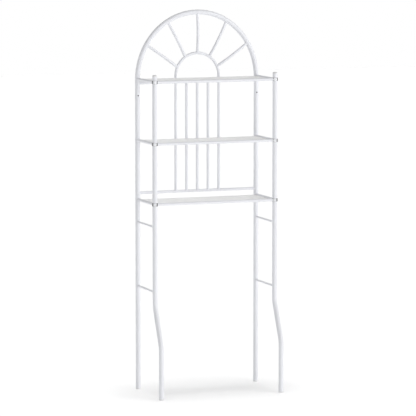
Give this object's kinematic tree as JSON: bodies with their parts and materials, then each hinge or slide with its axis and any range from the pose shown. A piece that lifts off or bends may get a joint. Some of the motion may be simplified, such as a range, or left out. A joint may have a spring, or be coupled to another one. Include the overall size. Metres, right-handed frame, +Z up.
{
  "type": "over the toilet storage rack",
  "caption": "White tube stand that spans a toilet, with wire shelves between its posts and an arched back with radiating spokes.",
  "frame": {"origin": "on the floor, in the middle of the overall width and depth", "axes": "+X to the rack's right as seen from the front, +Y towards the wall, +Z up"},
  "size_m": [0.5967, 0.3352, 1.711],
  "materials": {
    "white_powder_coat": "satin powder coat",
    "white_coated_wire": "satin powder coat",
    "zinc_plated_steel": "bright",
    "screw_steel": "bright",
    "white_plastic": "semi-gloss"
  },
  "bodies": {
    "root": {"arch_tube": "white_powder_coat", "back_rail_lower": "white_powder_coat", "back_rail_upper": "white_powder_coat", "back_rod_1": "white_powder_coat", "back_rod_2": "white_powder_coat", "back_rod_3": "white_powder_coat", "back_rod_4": "white_powder_coat", "back_rod_5": "white_powder_coat", "bottom_shelf_collar_left": "zinc_plated_steel", "bottom_shelf_collar_right": "zinc_plated_steel", "bottom_shelf_front_rail": "white_powder_coat", "bottom_shelf_grid": "white_coated_wire", "bottom_shelf_left_rail": "white_powder_coat", "bottom_shelf_rear_rail": "white_coated_wire", "bottom_shelf_right_rail": "white_powder_coat", "foot_front_left": "white_plastic", "foot_front_right": "white_plastic", "foot_rear_left": "white_plastic", "foot_rear_right": "white_plastic", "front_leg_left": "white_powder_coat", "front_leg_right": "white_powder_coat", "front_post_left": "white_powder_coat", "front_post_right": "white_powder_coat", "inner_arch": "white_powder_coat", "middle_shelf_collar_left": "zinc_plated_steel", "middle_shelf_collar_right": "zinc_plated_steel", "middle_shelf_front_rail": "white_powder_coat", "middle_shelf_grid": "white_coated_wire", "middle_shelf_left_rail": "white_powder_coat", "middle_shelf_rear_rail": "white_coated_wire", "middle_shelf_right_rail": "white_powder_coat", "post_cap_left": "white_plastic", "post_cap_right": "white_plastic", "rear_leg_left": "white_powder_coat", "rear_leg_right": "white_powder_coat", "rung_left_lower": "white_coated_wire", "rung_left_upper": "white_coated_wire", "rung_right_lower": "white_coated_wire", "rung_right_upper": "white_coated_wire", "shelf_screws": "screw_steel", "spoke_centre": "white_powder_coat", "spoke_left_high": "white_powder_coat", "spoke_left_low": "white_powder_coat", "spoke_right_high": "white_powder_coat", "spoke_right_low": "white_powder_coat", "top_shelf_collar_left": "zinc_plated_steel", "top_shelf_collar_right": "zinc_plated_steel", "top_shelf_front_rail": "white_powder_coat", "top_shelf_grid": "white_coated_wire", "top_shelf_left_rail": "white_powder_coat", "top_shelf_rear_rail": "white_coated_wire", "top_shelf_right_rail": "white_powder_coat"}
  },
  "joints": []
}
